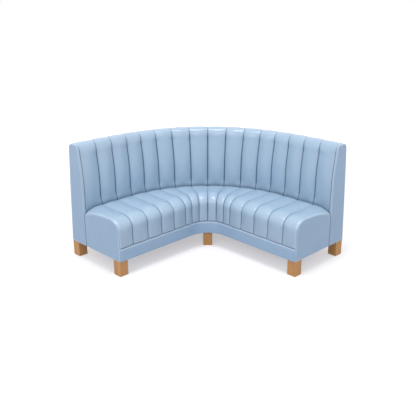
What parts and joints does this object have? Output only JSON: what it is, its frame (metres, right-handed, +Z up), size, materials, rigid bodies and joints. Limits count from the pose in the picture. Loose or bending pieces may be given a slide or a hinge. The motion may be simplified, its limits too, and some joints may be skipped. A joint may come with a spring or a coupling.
{
  "type": "upholstered banquette bench",
  "caption": "Free-standing curved corner banquette bench with a fluted vinyl seat and a full-height fluted back on oak block feet.",
  "frame": {"origin": "on the floor, at the middle of the footprint's bounding box", "axes": "+Z up, +Y towards the back, +X to the right of a person who faces the bench; the bench is mirrored about X = 0"},
  "size_m": [2.284, 1.1336, 0.965],
  "materials": {
    "fluted_vinyl": "light blue vinyl, fine grain, semi-gloss",
    "plain_vinyl": "light blue vinyl, fine grain, semi-gloss",
    "oak": "clear satin lacquer",
    "plywood": "raw birch plywood",
    "softwood": "planed softwood",
    "foam": "open-cell foam",
    "dust_cloth": "black non-woven cloth",
    "steel": "zinc plated",
    "glide_plastic": "dark nylon"
  },
  "bodies": {
    "root": {"seat_pad": "fluted_vinyl", "seat_foam": "foam", "seat_deck": "plywood", "seat_end_cover_left": "plain_vinyl", "seat_end_cover_right": "plain_vinyl", "seat_end_board_left": "plywood", "seat_end_board_right": "plywood", "plinth_cover": "plain_vinyl", "plinth_rail_left": "softwood", "plinth_rail_centre": "softwood", "plinth_rail_right": "softwood", "front_board_left": "plywood", "front_board_centre": "plywood", "front_board_right": "plywood", "rear_board_left": "plywood", "rear_board_centre": "plywood", "rear_board_right": "plywood", "seat_rib_left_outer": "plywood", "seat_rib_left_inner": "plywood", "seat_rib_left_middle": "plywood", "seat_rib_right_middle": "plywood", "seat_rib_right_inner": "plywood", "seat_rib_right_outer": "plywood", "foot_block_left": "softwood", "foot_block_centre": "softwood", "foot_block_right": "softwood", "seat_dust_cover": "dust_cloth", "back_pad": "fluted_vinyl", "back_foam": "foam", "back_front_skin": "plywood", "back_rear_skin": "plywood", "outside_back_cover": "plain_vinyl", "back_end_cover_left": "plain_vinyl", "back_end_cover_right": "plain_vinyl", "back_end_board_left": "plywood", "back_end_board_right": "plywood", "back_top_rail": "softwood", "back_middle_rail": "softwood", "back_base_rail": "softwood", "back_lower_panel": "plywood", "back_rib_left_outer": "plywood", "back_rib_left_inner": "plywood", "back_rib_left_middle": "plywood", "back_rib_right_middle": "plywood", "back_rib_right_inner": "plywood", "back_rib_right_outer": "plywood", "foot_front_left": "oak", "foot_front_centre": "oak", "foot_front_right": "oak", "foot_rear_left": "oak", "foot_rear_centre": "oak", "foot_rear_right": "oak", "foot_glides": "glide_plastic", "foot_bolts": "steel", "foot_tee_nuts": "steel", "joining_bolts": "steel", "joining_washers": "steel", "joining_nuts": "steel"}
  },
  "joints": []
}
